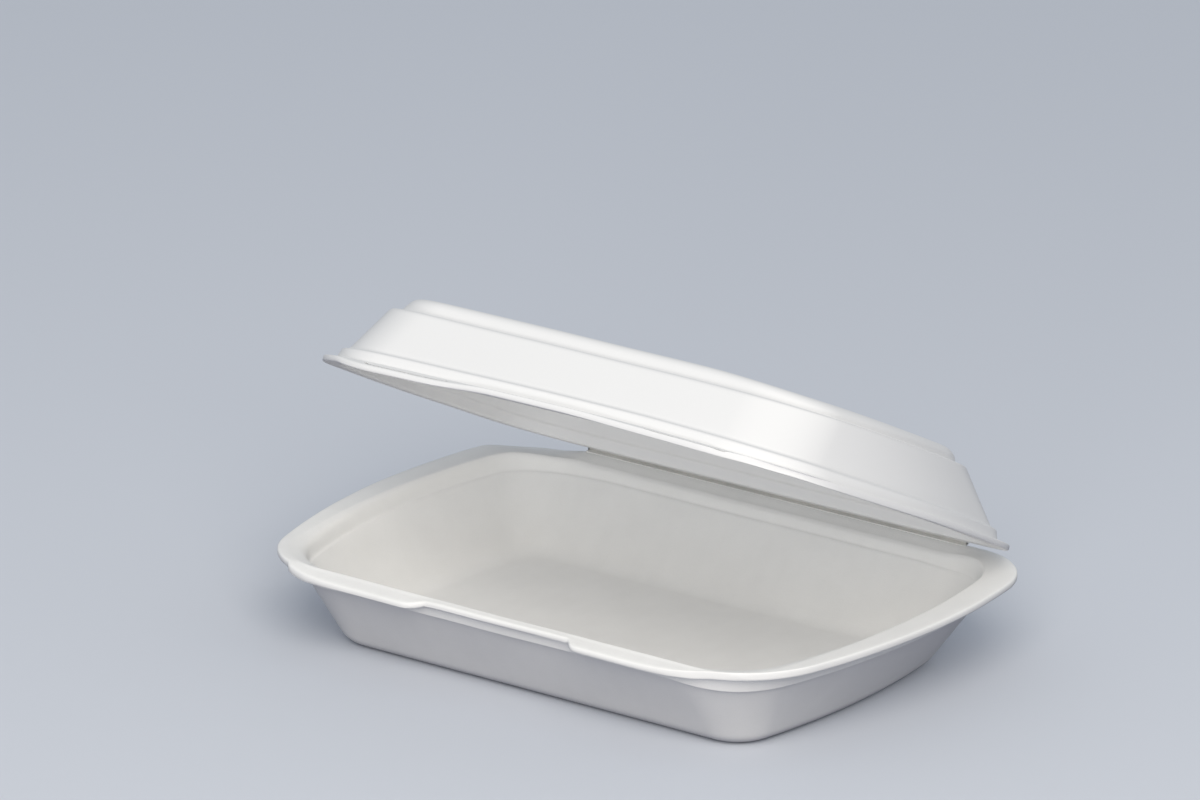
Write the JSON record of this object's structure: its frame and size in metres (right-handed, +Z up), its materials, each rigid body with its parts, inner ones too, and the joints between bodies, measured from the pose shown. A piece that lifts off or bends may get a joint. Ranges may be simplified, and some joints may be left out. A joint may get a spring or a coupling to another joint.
{
  "type": "hinged foam lunch box",
  "caption": "White foam takeaway lunch box standing ajar: a shallow rounded tray and a lid that fold together on a pressed hinge and lock with rim tongues.",
  "frame": {"origin": "on the flat underside of the base, under the middle of its rim", "axes": "+X along the hinge to the right, +Y back towards the hinge, +Z up out of the base"},
  "size_m": [0.2406, 0.1683, 0.122],
  "materials": {
    "foam": "matt, fine-celled foam skin",
    "pressed_foam": "foam pressed thin and smooth"
  },
  "bodies": {
    "tray": {"base": "foam", "hinge_web": "pressed_foam"},
    "cover": {"lid": "foam"}
  },
  "joints": [
    {"name": "lid_hinge", "type": "hinge", "parent": "tray", "child": "cover", "pos_m": [0, 0.082, 0.03445], "axis": [-1, 0, 0], "range_deg": [-25.7, 154.3], "deforming": ["hinge_web"]}
  ]
}
